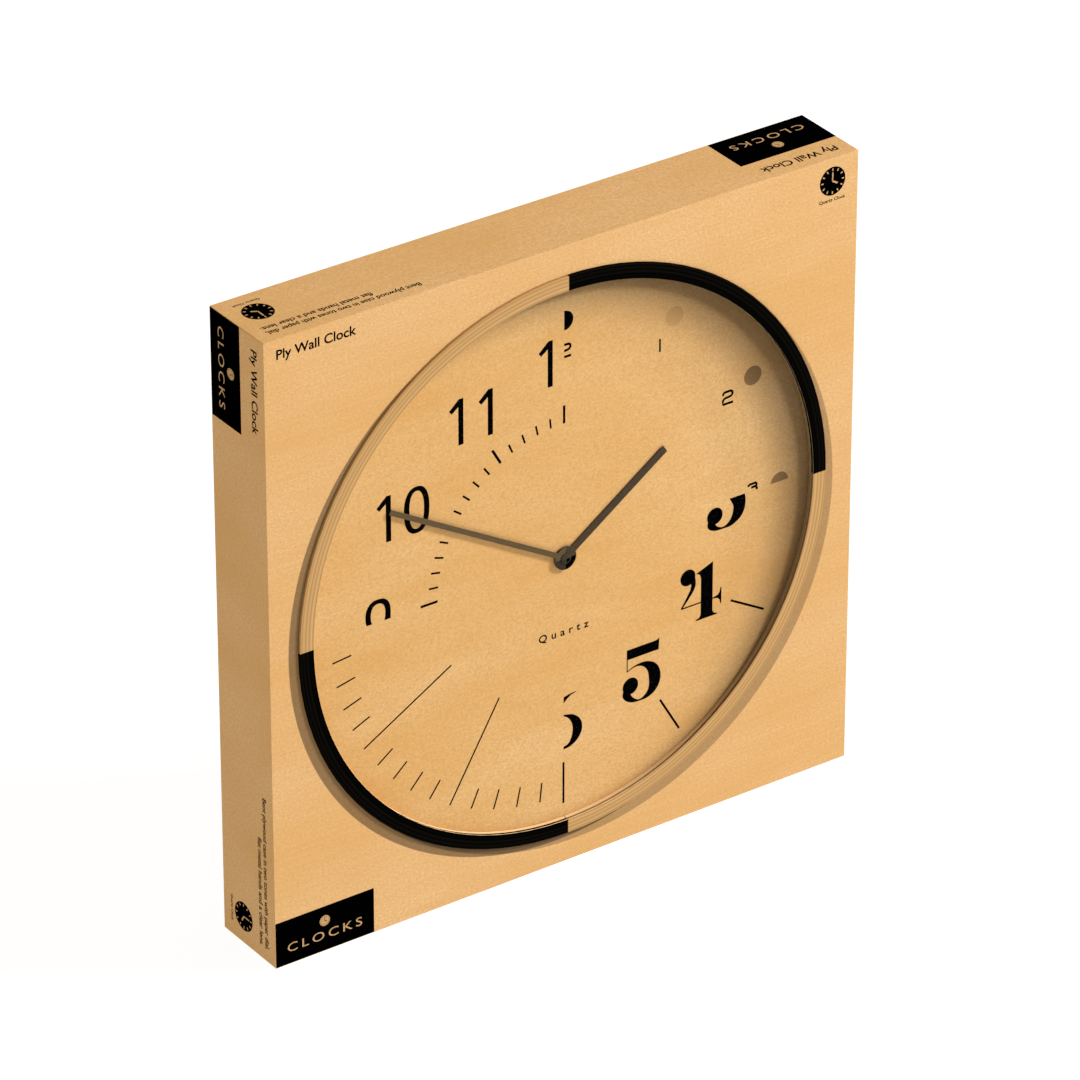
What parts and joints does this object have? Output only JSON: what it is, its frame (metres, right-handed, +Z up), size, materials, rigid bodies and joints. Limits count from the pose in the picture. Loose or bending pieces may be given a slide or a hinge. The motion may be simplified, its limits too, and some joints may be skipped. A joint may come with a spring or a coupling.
{
  "type": "boxed wall clock",
  "caption": "Round quartz wall clock with a bent ply case, standing in a square kraft box and seen through its round window.",
  "frame": {"origin": "middle of the box's footprint, on the floor it stands on", "axes": "+Z up along the box's side, +X to the right as the dial is read, +Y from the dial towards the back of the box"},
  "size_m": [0.498, 0.0678, 0.498],
  "materials": {
    "kraft_board": "matte uncoated board",
    "moulded_pulp": "rough moulded pulp",
    "pale_ply": "clear satin",
    "black_ply": "black stained satin",
    "liner_ply": "clear satin",
    "dial_board": "matte printed paper on board",
    "clear_glass": "polished",
    "dark_metal": "dark satin",
    "steel": "brushed",
    "brass": "turned",
    "copper_wire": "enamelled",
    "white_plastic": "moulded",
    "black_plastic": "moulded",
    "circuit_laminate": "solder mask",
    "rubber": "matte",
    "cell_sleeve": "gloss sleeve"
  },
  "bodies": {
    "box_base": {"box_tray": "kraft_board", "corner_block_lower_left": "moulded_pulp", "corner_block_upper_left": "moulded_pulp", "corner_block_lower_right": "moulded_pulp", "corner_block_upper_right": "moulded_pulp"},
    "box_top": {"box_lid": "kraft_board"},
    "clock_case": {"case_quadrant_12_to_3": "black_ply", "case_quadrant_3_to_6": "pale_ply", "case_quadrant_6_to_9": "black_ply", "case_quadrant_9_to_12": "pale_ply", "case_liner": "liner_ply", "glass_lens": "clear_glass", "dial_plate": "dial_board", "hanger_plate": "steel", "hanger_screw_left": "steel", "hanger_screw_right": "steel", "wall_bumper_left": "rubber", "wall_bumper_right": "rubber", "threaded_bushing": "brass", "fixing_nut": "brass", "rubber_washer": "rubber", "movement_housing": "black_plastic", "movement_back_cover": "black_plastic", "stator": "steel", "coil_bobbin": "white_plastic", "coil_winding": "copper_wire", "circuit_board": "circuit_laminate", "clock_chip": "black_plastic", "quartz_crystal": "steel", "battery_spring": "steel", "battery_contact": "steel"},
    "minute_spindle": {"minute_arbor": "steel", "minute_hand": "dark_metal", "centre_cap": "dark_metal"},
    "hour_pipe": {"hour_wheel": "white_plastic", "hour_hand": "dark_metal"},
    "motion_wheel": {"minute_wheel": "white_plastic"},
    "knob": {"setting_knob": "white_plastic"},
    "centre_gear": {"centre_wheel": "white_plastic"},
    "third_gear": {"third_wheel": "white_plastic"},
    "fourth_gear": {"fourth_wheel": "white_plastic"},
    "fifth_gear": {"fifth_wheel": "white_plastic"},
    "motor_rotor": {"rotor": "black_plastic"},
    "cell": {"battery_cell": "cell_sleeve"}
  },
  "joints": [
    {"name": "lid_slide", "type": "slide", "parent": "box_base", "child": "box_top", "axis": [0, -1, 0], "range_m": [0, 0.08]},
    {"name": "clock_lift_out", "type": "slide", "parent": "box_base", "child": "clock_case", "axis": [0, -1, 0], "range_m": [0, 0.09]},
    {"name": "minute_spin", "type": "hinge", "parent": "clock_case", "child": "minute_spindle", "pos_m": [0, 0, 0.249], "axis": [0, 1, 0], "continuous": true},
    {"name": "hour_spin", "type": "hinge", "parent": "clock_case", "child": "hour_pipe", "pos_m": [0, 0, 0.249], "axis": [0, 1, 0], "continuous": true},
    {"name": "minute_wheel_spin", "type": "hinge", "parent": "clock_case", "child": "motion_wheel", "pos_m": [-0.00902, 0, 0.24572], "axis": [0, 1, 0], "continuous": true},
    {"name": "setting_knob_spin", "type": "hinge", "parent": "clock_case", "child": "knob", "pos_m": [-0.01772, 0, 0.24166], "axis": [0, 1, 0], "continuous": true},
    {"name": "fourth_wheel_spin", "type": "hinge", "parent": "clock_case", "child": "fourth_gear", "pos_m": [0.00759, 0, 0.26478], "axis": [0, 1, 0], "continuous": true},
    {"name": "third_wheel_spin", "type": "hinge", "parent": "clock_case", "child": "third_gear", "pos_m": [0.01218, 0, 0.25343], "axis": [0, 1, 0], "continuous": true},
    {"name": "centre_wheel_spin", "type": "hinge", "parent": "clock_case", "child": "centre_gear", "pos_m": [0, 0, 0.249], "axis": [0, 1, 0], "continuous": true},
    {"name": "fifth_wheel_spin", "type": "hinge", "parent": "clock_case", "child": "fifth_gear", "pos_m": [-0.00105, 0, 0.26478], "axis": [0, 1, 0], "continuous": true},
    {"name": "rotor_spin", "type": "hinge", "parent": "clock_case", "child": "motor_rotor", "pos_m": [-0.00844, 0, 0.26321], "axis": [0, 1, 0], "continuous": true},
    {"name": "battery_lift_out", "type": "slide", "parent": "clock_case", "child": "cell", "axis": [0, 1, 0], "range_m": [0, 0.02]}
  ],
  "couplings": [
    {"joint": "hour_spin", "follows": "minute_spin", "ratio": 0.083333},
    {"joint": "minute_wheel_spin", "follows": "minute_spin", "ratio": -0.33333},
    {"joint": "setting_knob_spin", "follows": "minute_spin", "ratio": 1},
    {"joint": "third_wheel_spin", "follows": "fourth_wheel_spin", "ratio": -0.13333},
    {"joint": "centre_wheel_spin", "follows": "fourth_wheel_spin", "ratio": 0.016667},
    {"joint": "fifth_wheel_spin", "follows": "fourth_wheel_spin", "ratio": -5},
    {"joint": "rotor_spin", "follows": "fourth_wheel_spin", "ratio": 30}
  ]
}
